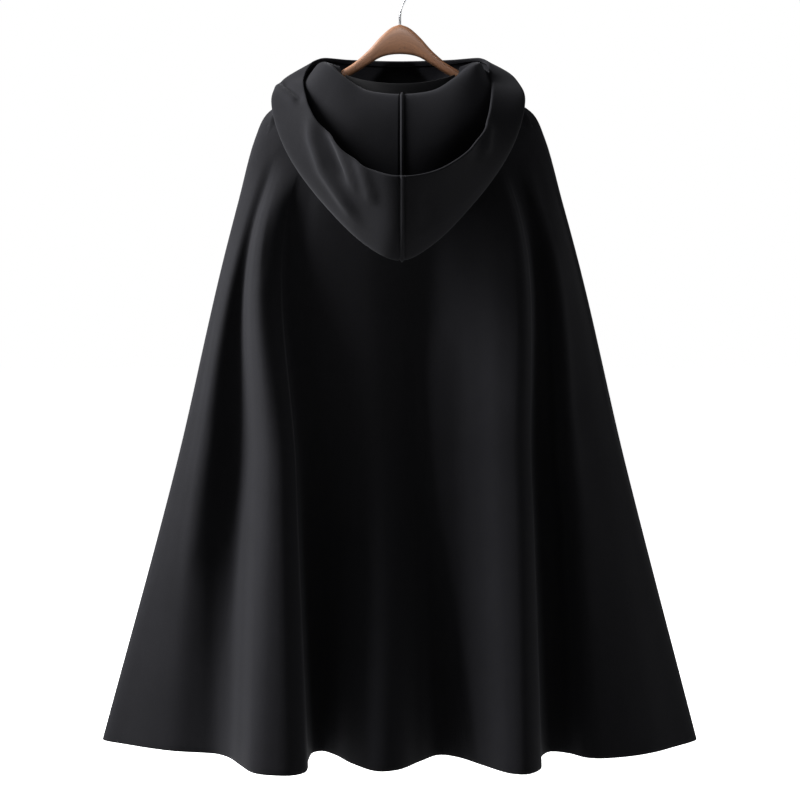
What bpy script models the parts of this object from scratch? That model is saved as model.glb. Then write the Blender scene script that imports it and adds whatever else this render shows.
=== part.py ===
"""Hooded poncho of felted wool on a wooden hanger, in metres.

+Z is up. The garment's back faces -Y, and +X is on the right of someone looking at that back.
The origin is where a rail carries the hook. Every cloth piece is a wall of one thickness, made from
sections: closed rings round the shoulders, fold lines down the body, and half sections of the hood.
"""

import math
from typing import NamedTuple

import bpy
import numpy as np

# Cloth
CLOTH = 0.0022
TAPE = 0.0012
SEAM_GAP = 0.0003

# Levels of the body, below the hook
TOP_SIDE_Z = -0.330
TOP_MIDDLE_Z = -0.345
MID_Z = -0.720
HEM_Z = -1.110

# Neck seam
NECK_HALF_WIDTH = 0.088
NECK_BACK_OUT = 0.052
NECK_BACK_Z = -0.190
NECK_FRONT_OUT = 0.062
NECK_FRONT_Z = -0.198
HOOD_LIFT = 0.0042

# Hanger and hook
YOKE_HALF_DEPTH = 0.0065
YOKE_TIP_FROM = 0.0140
WIRE_RADIUS = 0.00175
HOOK_RADIUS = 0.01875
HOOK_FOOT_Z = -0.088
BORE_RADIUS = WIRE_RADIUS + SEAM_GAP
BORE_CUTTER_LENGTH = 0.04
HANGER_CLEARANCE = 0.0015
NECK_CURVE = 1.1
DRAPE_SLOPE = 0.8
DRAPE_REACH = 0.010
DRAPE_FALL = 5.0
DRAPE_HALF_DEPTH = 0.036

# Mesh fineness
BODY_STEP = 0.026
HOOD_COLUMNS = 15
ROWS_BETWEEN_LEVELS = (2, 2, 2, 2, 2, 5, 5)
HOOD_ROWS = 14
TAPE_COLUMNS = 16
YOKE_STATIONS = 14
YOKE_SIDES = 12


class Yoke(NamedTuple):
    """One station along a hanger arm: its top edge and its height there."""

    x: float
    top_z: float
    height: float


YOKE = (
    Yoke(0.000, -0.0747, 0.0430),
    Yoke(0.012, -0.0790, 0.0395),
    Yoke(0.028, -0.0925, 0.0300),
    Yoke(0.045, -0.1115, 0.0210),
    Yoke(0.064, -0.1285, 0.0160),
    Yoke(0.094, -0.1470, 0.0145),
    Yoke(0.140, -0.1735, 0.0145),
    Yoke(0.170, -0.1925, 0.0140),
    Yoke(0.182, -0.2025, 0.0105),
    Yoke(0.187, -0.2085, 0.0050),
)


class Ring(NamedTuple):
    """One closed ring over the shoulders: how far out and how high at the sides, back and front."""

    side_x: float
    side_z: float
    back_out: float
    back_z: float
    front_out: float
    front_z: float


SHOULDER_RINGS = (
    Ring(NECK_HALF_WIDTH, -0.1420, NECK_BACK_OUT, NECK_BACK_Z, NECK_FRONT_OUT, NECK_FRONT_Z),
    Ring(0.125, -0.1636, 0.056, -0.216, 0.066, -0.224),
    Ring(0.163, -0.1852, 0.058, -0.243, 0.069, -0.250),
    Ring(0.193, -0.2060, 0.059, -0.270, 0.070, -0.276),
    Ring(0.209, -0.2400, 0.060, -0.300, 0.071, -0.305),
)


class Fold(NamedTuple):
    """One line down the cloth, its place at three levels: across the body, and out from the middle plane."""

    top_x: float
    top_out: float
    mid_x: float
    mid_out: float
    hem_x: float
    hem_out: float


BACK_FOLDS = (
    Fold(-0.2330, 0.000, -0.3250, 0.000, -0.4300, 0.000),
    Fold(-0.2311, 0.008, -0.3190, 0.012, -0.4220, 0.010),
    Fold(-0.2260, 0.017, -0.3080, 0.027, -0.4010, 0.024),
    Fold(-0.2180, 0.028, -0.2960, 0.042, -0.3560, 0.053),
    Fold(-0.2120, 0.034, -0.2840, 0.053, -0.3180, 0.072),
    Fold(-0.2070, 0.036, -0.2690, 0.055, -0.2840, 0.080),
    Fold(-0.2030, 0.037, -0.2540, 0.049, -0.2590, 0.087),
    Fold(-0.1995, 0.039, -0.2330, 0.046, -0.2390, 0.108),
    Fold(-0.1955, 0.046, -0.2150, 0.067, -0.2190, 0.152),
    Fold(-0.1900, 0.055, -0.1960, 0.104, -0.1990, 0.195),
    Fold(-0.1840, 0.060, -0.1840, 0.121, -0.1860, 0.206),
    Fold(-0.1780, 0.061, -0.1730, 0.127, -0.1710, 0.211),
    Fold(-0.1680, 0.060, -0.1580, 0.127, -0.1470, 0.213),
    Fold(-0.1600, 0.058, -0.1475, 0.114, -0.1285, 0.198),
    Fold(-0.1540, 0.055, -0.1455, 0.084, -0.1270, 0.128),
    Fold(-0.1460, 0.054, -0.1340, 0.063, -0.1215, 0.080),
    Fold(-0.1330, 0.055, -0.1170, 0.058, -0.1105, 0.071),
    Fold(-0.1150, 0.059, -0.0950, 0.064, -0.0920, 0.092),
    Fold(-0.0780, 0.063, -0.0600, 0.080, -0.0650, 0.146),
    Fold(-0.0350, 0.0655, -0.0280, 0.088, -0.0300, 0.189),
    Fold(-0.0050, 0.065, 0.0000, 0.082, -0.0020, 0.180),
    Fold(0.0250, 0.063, 0.0250, 0.069, 0.0275, 0.133),
    Fold(0.0480, 0.0625, 0.0450, 0.066, 0.0560, 0.094),
    Fold(0.0700, 0.066, 0.0750, 0.078, 0.0800, 0.108),
    Fold(0.0980, 0.069, 0.1080, 0.103, 0.1150, 0.158),
    Fold(0.1280, 0.073, 0.1400, 0.126, 0.1470, 0.200),
    Fold(0.1520, 0.0745, 0.1640, 0.131, 0.1690, 0.206),
    Fold(0.1610, 0.067, 0.1800, 0.118, 0.1890, 0.180),
    Fold(0.1665, 0.056, 0.1820, 0.086, 0.1930, 0.120),
    Fold(0.1730, 0.048, 0.1960, 0.053, 0.2130, 0.074),
    Fold(0.1820, 0.045, 0.2190, 0.054, 0.2380, 0.086),
    Fold(0.1910, 0.048, 0.2350, 0.079, 0.2570, 0.110),
    Fold(0.1980, 0.048, 0.2440, 0.085, 0.2740, 0.116),
    Fold(0.2080, 0.040, 0.2600, 0.074, 0.3160, 0.105),
    Fold(0.2190, 0.027, 0.2880, 0.053, 0.3560, 0.080),
    Fold(0.2270, 0.015, 0.3120, 0.028, 0.3960, 0.040),
    Fold(0.2322, 0.008, 0.3230, 0.013, 0.4215, 0.013),
    Fold(0.2340, 0.000, 0.3280, 0.000, 0.4290, 0.000),
)

FRONT_FOLDS = (
    Fold(0.2322, 0.009, 0.3225, 0.013, 0.4225, 0.014),
    Fold(0.2265, 0.018, 0.3110, 0.029, 0.4020, 0.033),
    Fold(0.2140, 0.032, 0.2860, 0.054, 0.3620, 0.068),
    Fold(0.1980, 0.046, 0.2540, 0.060, 0.3080, 0.070),
    Fold(0.1760, 0.062, 0.2140, 0.104, 0.2480, 0.150),
    Fold(0.1560, 0.068, 0.1860, 0.102, 0.2060, 0.152),
    Fold(0.1400, 0.066, 0.1740, 0.070, 0.1960, 0.086),
    Fold(0.1100, 0.066, 0.1340, 0.060, 0.1460, 0.062),
    Fold(0.0660, 0.072, 0.0760, 0.090, 0.0780, 0.118),
    Fold(0.0200, 0.076, 0.0220, 0.104, 0.0200, 0.150),
    Fold(-0.0300, 0.074, -0.0320, 0.080, -0.0380, 0.098),
    Fold(-0.0760, 0.070, -0.0820, 0.064, -0.0900, 0.070),
    Fold(-0.1240, 0.070, -0.1400, 0.090, -0.1520, 0.116),
    Fold(-0.1560, 0.066, -0.1840, 0.110, -0.2060, 0.162),
    Fold(-0.1760, 0.056, -0.2120, 0.074, -0.2440, 0.092),
    Fold(-0.1960, 0.046, -0.2480, 0.058, -0.2960, 0.070),
    Fold(-0.2140, 0.032, -0.2860, 0.052, -0.3600, 0.066),
    Fold(-0.2255, 0.018, -0.3080, 0.028, -0.4030, 0.030),
    Fold(-0.2312, 0.009, -0.3195, 0.013, -0.4235, 0.013),
)


class HoodSection(NamedTuple):
    """One section of the left half of the hood, from the neck seam to the edge of the face opening.

    The turn is in degrees round the neck, from 0 at the front to 180 at the nape.
    """

    turn: float
    roll: tuple[float, float, float]
    inner: tuple[float, float, float]
    fold: tuple[float, float, float]
    outer: tuple[float, float, float]
    rim: tuple[float, float, float]


HOOD_SECTIONS = (
    HoodSection(
        0, (0, 0.066, -0.180), (0, 0.067, -0.165), (0, 0.066, -0.150),
        (0, 0.064, -0.136), (0, 0.060, -0.121),
    ),
    HoodSection(
        35, (-0.056, 0.056, -0.169), (-0.062, 0.060, -0.155), (-0.067, 0.061, -0.143),
        (-0.071, 0.060, -0.131), (-0.073, 0.057, -0.1195),
    ),
    HoodSection(
        62, (-0.094, 0.036, -0.139), (-0.101, 0.040, -0.134), (-0.113, 0.040, -0.131),
        (-0.120, 0.040, -0.126), (-0.118, 0.038, -0.120),
    ),
    HoodSection(
        78, (-0.109, 0.018, -0.130), (-0.122, 0.018, -0.137), (-0.138, 0.016, -0.150),
        (-0.152, 0.014, -0.143), (-0.131, 0.013, -0.131),
    ),
    HoodSection(
        92, (-0.114, -0.002, -0.131), (-0.132, -0.004, -0.151), (-0.153, -0.006, -0.172),
        (-0.172, -0.008, -0.160), (-0.139, -0.010, -0.150),
    ),
    HoodSection(
        110, (-0.104, -0.028, -0.139), (-0.128, -0.040, -0.168), (-0.160, -0.044, -0.200),
        (-0.182, -0.045, -0.191), (-0.139, -0.046, -0.172),
    ),
    HoodSection(
        130, (-0.085, -0.050, -0.160), (-0.110, -0.070, -0.208), (-0.144, -0.079, -0.271),
        (-0.161, -0.087, -0.255), (-0.124, -0.100, -0.217),
    ),
    HoodSection(
        150, (-0.055, -0.066, -0.184), (-0.076, -0.092, -0.245), (-0.098, -0.099, -0.339),
        (-0.1105, -0.121, -0.323), (-0.0863, -0.149, -0.266),
    ),
    HoodSection(
        166, (-0.026, -0.071, -0.191), (-0.037, -0.100, -0.262), (-0.045, -0.121, -0.391),
        (-0.0505, -0.152, -0.379), (-0.041, -0.185, -0.303),
    ),
    HoodSection(
        180, (0, -0.073, -0.193), (0, -0.102, -0.268), (0, -0.133, -0.412),
        (0, -0.175, -0.400), (0, -0.200, -0.314),
    ),
)


class RightShift(NamedTuple):
    """How far the right half of the hood lies from the mirrored left half, at one turn."""

    turn: float
    rim_out: float
    rim_drop: float
    fold_out: float


RIGHT_SHIFTS = (
    RightShift(0, 0, 0, 0),
    RightShift(35, 0, 0, 0),
    RightShift(62, 0.004, 0, 0.005),
    RightShift(78, -0.001, 0, 0.005),
    RightShift(92, -0.006, 0.001, -0.002),
    RightShift(110, -0.0060, 0.001, -0.005),
    RightShift(130, -0.0005, 0.009, -0.004),
    RightShift(150, 0.012, 0.006, -0.003),
    RightShift(166, 0.009, 0.002, -0.002),
    RightShift(180, 0, 0, 0),
)
TAPE_TURNS = (114.0, 246.0)
TAPE_MIDDLE_HEIGHT = 0.0220
TAPE_END_HEIGHT = 0.009
TAPE_FOOT = 0.002


def clear_scene():
    """Removes every object of the scene."""
    for obj in list(bpy.data.objects):
        bpy.data.objects.remove(obj, do_unlink=True)


def material(name, colour, roughness, metallic=0.0):
    """A Principled material."""
    made = bpy.data.materials.new(name)
    made.use_nodes = True
    shader = made.node_tree.nodes["Principled BSDF"]
    shader.inputs["Base Color"].default_value = (*colour, 1.0)
    shader.inputs["Roughness"].default_value = roughness
    shader.inputs["Metallic"].default_value = metallic
    return made


def add_object(name, points, faces, finish):
    """An object made from points and faces."""
    mesh = bpy.data.meshes.new(name)
    mesh.from_pydata([tuple(map(float, p)) for p in points], [], faces)
    mesh.validate()
    mesh.materials.append(finish)
    mesh.shade_smooth()
    obj = bpy.data.objects.new(name, mesh)
    bpy.context.scene.collection.objects.link(obj)
    return obj


def smooth_curve(points, places, where):
    """The curve through points that stand at rising places, read at other places."""
    points = np.asarray(points, float)
    places = np.asarray(places, float)
    spans = np.diff(places).reshape((-1,) + (1,) * (points.ndim - 1))
    secants = np.diff(points, axis=0) / spans
    slopes = np.empty_like(points)
    slopes[0], slopes[-1] = secants[0], secants[-1]
    slopes[1:-1] = (secants[:-1] * spans[1:] + secants[1:] * spans[:-1]) / (spans[1:] + spans[:-1])
    index = np.clip(np.searchsorted(places, where, side="right") - 1, 0, len(places) - 2)
    shape = (-1,) + (1,) * (points.ndim - 1)
    span = spans[index]
    t = ((where - places[index]).reshape(shape)) / span
    start = points[index] * (1 + 2 * t) * (1 - t) ** 2 + slopes[index] * span * t * (1 - t) ** 2
    end = points[index + 1] * t**2 * (3 - 2 * t) + slopes[index + 1] * span * t**2 * (t - 1)
    return start + end


def yoke_top(x):
    """Height of the hanger's top edge at a distance from the middle."""
    return smooth_curve([s.top_z for s in YOKE], [s.x for s in YOKE], np.abs(x))


def knot_rings():
    """The fold lines as closed rings of points at the top, middle and hem levels."""
    rings = []
    for level in ("top", "mid", "hem"):
        back = [(getattr(f, level + "_x"), -getattr(f, level + "_out")) for f in BACK_FOLDS]
        front = [(getattr(f, level + "_x"), getattr(f, level + "_out")) for f in FRONT_FOLDS]
        rings.append(np.array(back + front))
    return rings


def ring_places(hem, step):
    """Where each fold line stands along the ring, and the places of all columns between them."""
    chords = np.linalg.norm(np.roll(hem, -1, axis=0) - hem, axis=1)
    knots = np.concatenate([[0.0], np.cumsum(np.sqrt(chords))])
    columns = []
    for i, chord in enumerate(chords):
        count = max(1, round(chord / step))
        columns.extend(knots[i] + (knots[i + 1] - knots[i]) * np.arange(count) / count)
    return knots, np.array(columns)


def closed_curve(ring, knots, where):
    """A smooth closed curve through a ring of points."""
    wrapped = np.concatenate([ring[-2:], ring, ring[:3]])
    total = knots[-1]
    places = np.concatenate([knots[-3:-1] - total, knots, knots[1:3] + total])
    return smooth_curve(wrapped, places, where)


def shoulder_ring(ring, share, front):
    """Points of one shoulder ring, at shares of its half width."""
    round_off = np.clip(1 - share**2, 0, 1)
    out = np.where(front, ring.front_out, -ring.back_out) * np.sqrt(round_off)
    middle_z = np.where(front, ring.front_z, ring.back_z)
    z = ring.side_z + (middle_z - ring.side_z) * round_off ** (NECK_CURVE / 2)
    return np.stack([ring.side_x * share, out, z], axis=1)


def rest_on_hanger(points):
    """Lifts the points over the hanger arms until the cloth just lies on them, falling away on both sides."""
    x, y, z = np.abs(points[..., 0]), np.abs(points[..., 1]), points[..., 2]
    past_edge = np.maximum(y - YOKE_HALF_DEPTH, 0)
    drop = past_edge * DRAPE_SLOPE + np.maximum(past_edge - DRAPE_REACH, 0) * DRAPE_FALL
    drop += np.maximum(NECK_HALF_WIDTH - x, 0) * DRAPE_FALL
    top = yoke_top(np.clip(x, NECK_HALF_WIDTH, YOKE[-1].x).ravel()).reshape(x.shape)
    support = top + CLOTH / 2 + HANGER_CLEARANCE - drop
    points[..., 2] = np.where((x < YOKE[-1].x) & (y < DRAPE_HALF_DEPTH), np.maximum(z, support), z)
    return points


def body_surface(step, rows_between):
    """Middle surface of the body, rows by columns, and the number of columns of the back."""
    top, mid, hem = knot_rings()
    knots, columns = ring_places(hem, step)
    top_line, mid_line, hem_line = (closed_curve(r, knots, columns) for r in (top, mid, hem))
    front = columns > knots[len(BACK_FOLDS) - 1]
    half = np.where(top_line[:, 0] < 0, -BACK_FOLDS[0].top_x, BACK_FOLDS[-1].top_x)
    share = np.clip(top_line[:, 0] / half, -1, 1)
    levels = [shoulder_ring(ring, share, front) for ring in SHOULDER_RINGS]
    round_off = 1 - share**2
    top_z = TOP_SIDE_Z + (TOP_MIDDLE_Z - TOP_SIDE_Z) * round_off
    levels.append(np.column_stack([top_line, top_z]))
    levels.append(np.column_stack([mid_line, np.full(len(columns), MID_Z)]))
    levels.append(np.column_stack([hem_line, np.full(len(columns), HEM_Z)]))
    levels = np.array(levels)
    lengths = np.linalg.norm(np.diff(levels, axis=0), axis=2).mean(axis=1)
    places = np.concatenate([[0.0], np.cumsum(lengths)])
    rows = [places[-1]]
    for i, count in enumerate(rows_between):
        rows.extend(places[i] + lengths[i] * np.arange(count) / count)
    surface = smooth_curve(levels, places, np.sort(rows))
    back_columns = int(np.searchsorted(columns, knots[len(BACK_FOLDS) - 1] - 1e-9)) + 1
    return rest_on_hanger(surface), back_columns


def neck_seam(turn):
    """Points of the neck seam at turns in degrees, positive to the left, from the front to the nape."""
    angle = np.radians(turn)
    forward = np.cos(angle)
    out = np.where(forward > 0, NECK_FRONT_OUT, NECK_BACK_OUT) * forward
    middle_z = np.where(forward > 0, NECK_FRONT_Z, NECK_BACK_Z)
    side_z = SHOULDER_RINGS[0].side_z
    z = side_z + (middle_z - side_z) * np.abs(forward) ** NECK_CURVE
    return rest_on_hanger(np.stack([-NECK_HALF_WIDTH * np.sin(angle), out, z], axis=1))


def hood_surface(columns, rows):
    """Middle surface of the whole hood, rows by columns, from the front round the left side and back."""
    half_turns = np.linspace(0, 180, columns + 1)
    turns = [s.turn for s in HOOD_SECTIONS]
    lines = []
    for line in ("roll", "inner", "fold", "outer", "rim"):
        given = np.array([getattr(s, line) for s in HOOD_SECTIONS])
        mirrored = given * (-1, 1, 1)
        whole = np.concatenate([mirrored[1:2], given, mirrored[-2:-1]])
        lines.append(smooth_curve(whole, [-turns[1], *turns, 360 - turns[-2]], half_turns))
    left = np.array([neck_seam(half_turns) + (0, 0, HOOD_LIFT)] + lines)
    right = left[:, -2:0:-1].copy()
    right[..., 0] *= -1
    shifts = smooth_curve([s[1:] for s in RIGHT_SHIFTS], [s.turn for s in RIGHT_SHIFTS], half_turns[-2:0:-1])
    right[-1, :, 0] += shifts[:, 0]
    right[-1, :, 2] -= shifts[:, 1]
    right[-3:-1, :, 0] += shifts[:, 2]
    right[-4, :, 0] += np.minimum(shifts[:, 0], 0)
    levels = np.concatenate([left, right], axis=1)
    places = np.linspace(0, 1, len(levels))
    return smooth_curve(levels, places, np.linspace(0, 1, rows + 1))


def ring_normals(surface):
    """Outward normals of a surface whose columns close on themselves."""
    along = np.roll(surface, -1, axis=1) - np.roll(surface, 1, axis=1)
    down = np.gradient(surface, axis=0)
    normals = np.cross(down, along)
    return normals / np.linalg.norm(normals, axis=2, keepdims=True)


def drawn_in(points, distance):
    """A grid with its first and last columns moved towards its middle."""
    moved = points.copy()
    for end, inside in ((0, 1), (-1, -2)):
        step = points[:, inside] - points[:, end]
        moved[:, end] += step * distance / np.linalg.norm(step, axis=1, keepdims=True)
    return moved


def wall(name, middle, normals, thickness, finish):
    """A closed wall round a middle surface, cut with the same diagonals on both faces."""
    outer = middle + normals * thickness / 2
    inner = middle - normals * thickness / 2
    rows, columns = middle.shape[:2]
    points = np.concatenate([outer.reshape(-1, 3), inner.reshape(-1, 3)])
    inside = rows * columns
    faces = []
    for r in range(rows - 1):
        for c in range(columns - 1):
            a, b = r * columns + c, r * columns + c + 1
            d, e = a + columns, b + columns
            first = np.linalg.norm(middle[r, c] - middle[r + 1, c + 1])
            second = np.linalg.norm(middle[r, c + 1] - middle[r + 1, c])
            pair = ((a, d, e), (a, e, b)) if first <= second else ((a, d, b), (b, d, e))
            for triangle in pair:
                faces.append(triangle)
                faces.append(tuple(i + inside for i in reversed(triangle)))
    edge = list(range(columns))
    edge += [r * columns + columns - 1 for r in range(1, rows)]
    edge += [(rows - 1) * columns + c for c in range(columns - 2, -1, -1)]
    edge += [r * columns for r in range(rows - 2, 0, -1)]
    for i, j in zip(edge, edge[1:] + edge[:1]):
        faces.append((i, j, j + inside))
        faces.append((i, j + inside, i + inside))
    return add_object(name, points, faces, finish)


def body_panels(finish):
    """The back and the front, parted at the side seams."""
    surface, back_columns = body_surface(BODY_STEP, ROWS_BETWEEN_LEVELS)
    normals = ring_normals(surface)
    closed = np.concatenate([surface, surface[:, :1]], axis=1)
    closed_normals = np.concatenate([normals, normals[:, :1]], axis=1)
    panels = (("back_panel", slice(0, back_columns)), ("front_panel", slice(back_columns - 1, None)))
    for name, part in panels:
        wall(name, drawn_in(closed[:, part], SEAM_GAP / 2), closed_normals[:, part], CLOTH, finish)


def hood_halves(finish):
    """The two halves of the hood, parted at the centre seams."""
    surface = hood_surface(HOOD_COLUMNS, HOOD_ROWS)
    normals = -ring_normals(surface)
    closed = np.concatenate([surface, surface[:, :1]], axis=1)
    closed_normals = np.concatenate([normals, normals[:, :1]], axis=1)
    halves = (("hood_left", slice(0, HOOD_COLUMNS + 1)), ("hood_right", slice(HOOD_COLUMNS, None)))
    for name, part in halves:
        middle = drawn_in(closed[:, part], SEAM_GAP / 2)[:, ::-1]
        wall(name, middle, closed_normals[:, part][:, ::-1], CLOTH, finish)


def neck_tape(finish):
    """The tape that stands inside the nape seam."""
    turns = np.linspace(*TAPE_TURNS, TAPE_COLUMNS + 1)
    seam = neck_seam(turns)
    outward = seam * (1, 1, 0)
    outward /= np.linalg.norm(outward, axis=1, keepdims=True)
    line = seam - outward * (CLOTH / 2 + SEAM_GAP + TAPE / 2)
    across = np.linspace(-1, 1, TAPE_COLUMNS + 1)
    height = TAPE_END_HEIGHT + (TAPE_MIDDLE_HEIGHT - TAPE_END_HEIGHT) * (1 - across**2)
    rows = []
    for share in (0.0, 0.5, 1.0):
        rows.append(line + np.outer(height * share - TAPE_FOOT * (1 - share), (0, 0, 1)))
    wall("neck_tape", np.array(rows)[::-1], np.array([outward] * len(rows)), TAPE, finish)


def hanger(finish):
    """The wooden yoke: two arms that rise to a peak, with a bore for the hook."""
    stations = np.linspace(0, YOKE[-1].x, YOKE_STATIONS + 1)[1:]
    stations = np.concatenate([-stations[::-1], [0.0], stations])
    top = yoke_top(stations)
    height = smooth_curve([s.height for s in YOKE], [s.x for s in YOKE], np.abs(stations))
    turn = np.radians(np.arange(YOKE_SIDES) * 360 / YOKE_SIDES)
    across, up = np.cos(turn), np.sin(turn)
    points = []
    for x, high, tall in zip(stations, top, height):
        depth = YOKE_HALF_DEPTH * min(1.0, (1 + tall / YOKE_TIP_FROM) / 2)
        for y, z in zip(across, up):
            points.append((x, y * depth, high - tall / 2 + z * tall / 2))
    faces = []
    for s in range(len(stations) - 1):
        for i in range(YOKE_SIDES):
            j = (i + 1) % YOKE_SIDES
            a, b = s * YOKE_SIDES + i, s * YOKE_SIDES + j
            faces.append((a, b, b + YOKE_SIDES, a + YOKE_SIDES))
    faces.append(tuple(range(YOKE_SIDES))[::-1])
    faces.append(tuple((len(stations) - 1) * YOKE_SIDES + i for i in range(YOKE_SIDES)))
    yoke = add_object("hanger", points, faces, finish)
    middle_z = HOOK_FOOT_Z - SEAM_GAP + BORE_CUTTER_LENGTH / 2
    bpy.ops.mesh.primitive_cylinder_add(
        vertices=YOKE_SIDES, radius=BORE_RADIUS, depth=BORE_CUTTER_LENGTH, location=(0, 0, middle_z)
    )
    cutter = bpy.context.object
    cutter.name = "bore_cutter"
    cutter.hide_render = True
    cutter.display_type = "WIRE"
    bore = yoke.modifiers.new("Bore", "BOOLEAN")
    bore.object = cutter
    bore.operation = "DIFFERENCE"
    return yoke


def hook(finish):
    """The steel hook: a shank that leans to one side and turns over the rail."""
    centre_z = WIRE_RADIUS - HOOK_RADIUS
    route = [(0, HOOK_FOOT_Z), (0, -0.072), (0, -0.062), (0.0015, -0.052), (0.0065, -0.0415)]
    for degrees in range(-40, 211, 15):
        angle = math.radians(degrees)
        route.append((HOOK_RADIUS * math.cos(angle), centre_z + HOOK_RADIUS * math.sin(angle)))
    curve = bpy.data.curves.new("hook", "CURVE")
    curve.dimensions = "3D"
    spline = curve.splines.new("POLY")
    spline.points.add(len(route) - 1)
    for point, (x, z) in zip(spline.points, route):
        point.co = (x, 0, z, 1)
    curve.bevel_depth = WIRE_RADIUS
    curve.bevel_resolution = 2
    curve.use_fill_caps = True
    curve.materials.append(finish)
    obj = bpy.data.objects.new("hook", curve)
    bpy.context.scene.collection.objects.link(obj)
    return obj


def main():
    """Builds every piece."""
    clear_scene()
    wool = material("felted wool", (0.009, 0.009, 0.010), 0.9)
    twill = material("twill tape", (0.012, 0.012, 0.013), 0.8)
    wood = material("stained beech", (0.19, 0.10, 0.05), 0.4)
    steel = material("chromed steel", (0.6, 0.6, 0.6), 0.2, 1.0)
    body_panels(wool)
    hood_halves(wool)
    neck_tape(twill)
    hanger(wood)
    hook(steel)


main()
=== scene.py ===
"""Hooded poncho of felted wool on a wooden hanger: its full looks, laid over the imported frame."""

import logging
import math
from dataclasses import dataclass
from enum import Enum
from typing import NamedTuple

import bpy
import numpy as np
from bpy.types import Material, Node, NodeSocket, NodeTree, Object
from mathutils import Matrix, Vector


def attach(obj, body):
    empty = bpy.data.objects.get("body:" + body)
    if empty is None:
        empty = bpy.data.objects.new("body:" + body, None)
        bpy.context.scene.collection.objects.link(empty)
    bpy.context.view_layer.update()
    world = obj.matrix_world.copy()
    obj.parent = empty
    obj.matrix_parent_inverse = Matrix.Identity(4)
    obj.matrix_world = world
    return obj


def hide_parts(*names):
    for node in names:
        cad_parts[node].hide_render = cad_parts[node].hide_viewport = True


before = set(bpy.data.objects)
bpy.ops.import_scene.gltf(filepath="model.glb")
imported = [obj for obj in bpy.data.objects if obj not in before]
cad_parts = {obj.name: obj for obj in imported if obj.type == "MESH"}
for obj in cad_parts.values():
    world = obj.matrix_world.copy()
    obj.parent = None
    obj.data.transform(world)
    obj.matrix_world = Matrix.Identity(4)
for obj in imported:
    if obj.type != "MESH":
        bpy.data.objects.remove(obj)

LOG = logging.getLogger("poncho")
ROOT = "root"
CLOTH = 0.0022
SEAM_GAP = 0.0003
PICTURE_SIDE_PX = 800
EDGE_ROUND = tuple(math.radians(a) for a in (30, 60, 90, 120, 150))
SHARP_OVER = math.radians(55)
CREASE_FADE = 0.25
# The width of one band of a wave texture at scale 1
WAVE_BAND = math.pi / 10
Triple = tuple[float, float, float]


# Small tools


def linear(code: str) -> tuple[float, float, float, float]:
    """Turns a colour as shops give it into the values that light is worked out with.

    Args:
        code: An sRGB colour as a hex value, such as "#1c1c20".

    Returns:
        Its linear red, green and blue, and 1 for alpha.
    """
    channels = [int(code[i : i + 2], 16) / 255 for i in (1, 3, 5)]
    values = [c / 12.92 if c <= 0.04045 else ((c + 0.055) / 1.055) ** 2.4 for c in channels]
    return (values[0], values[1], values[2], 1.0)


def add_node(tree: NodeTree, kind: str, inputs: dict | None = None, **settings) -> Node:
    """Adds a node with its settings and links.

    Args:
        tree: The tree that gets the node.
        kind: Blender's name for the kind of node.
        inputs: A value, or a socket to link from, for each input by its name or number.
        settings: The node's own properties.

    Returns:
        The new node.
    """
    node = tree.nodes.new(kind)
    for name, value in settings.items():
        setattr(node, name, value)
    for name, value in (inputs or {}).items():
        if isinstance(value, NodeSocket):
            tree.links.new(value, node.inputs[name])
        else:
            node.inputs[name].default_value = value
    return node


def new_material(name: str, space: str) -> tuple[Material, NodeTree, NodeSocket]:
    """Starts a node material.

    Args:
        name: The finish's name.
        space: The coordinates that its pattern lies in, "Object" or "UV".

    Returns:
        The material, its tree and the socket with those coordinates.
    """
    made = bpy.data.materials.new(name)
    made.use_nodes = True
    made.node_tree.nodes.clear()
    return made, made.node_tree, add_node(made.node_tree, "ShaderNodeTexCoord").outputs[space]


def dress(tree: NodeTree, shader: dict) -> None:
    """Ends a material's tree in one Principled shader with these inputs."""
    principled = add_node(tree, "ShaderNodeBsdfPrincipled", shader)
    add_node(tree, "ShaderNodeOutputMaterial", {"Surface": principled.outputs[0]})


def mesh_object(
    name: str,
    points: np.ndarray,
    faces: list[tuple[int, ...]],
    finish: Material,
    uv: np.ndarray | None = None,
) -> Object:
    """Makes a smooth-shaded object from points and faces.

    Args:
        name: The piece's name.
        points: Its corners, in metres.
        faces: The corners of each face.
        finish: Its material.
        uv: The place of each corner on the flat cloth or board, in metres.

    Returns:
        The object, at the origin.
    """
    mesh = bpy.data.meshes.new(name)
    mesh.from_pydata(points.reshape(-1, 3).tolist(), [], faces)
    if uv is not None:
        layer = mesh.uv_layers.new(name="UVMap")
        corners = np.empty(len(mesh.loops), int)
        mesh.loops.foreach_get("vertex_index", corners)
        layer.data.foreach_set("uv", uv.reshape(-1, 2)[corners].astype(np.float32).ravel())
    mesh.validate()
    mesh.materials.append(finish)
    mesh.shade_smooth()
    mesh.set_sharp_from_angle(angle=SHARP_OVER)
    obj = bpy.data.objects.new(name, mesh)
    bpy.context.scene.collection.objects.link(obj)
    return obj


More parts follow.
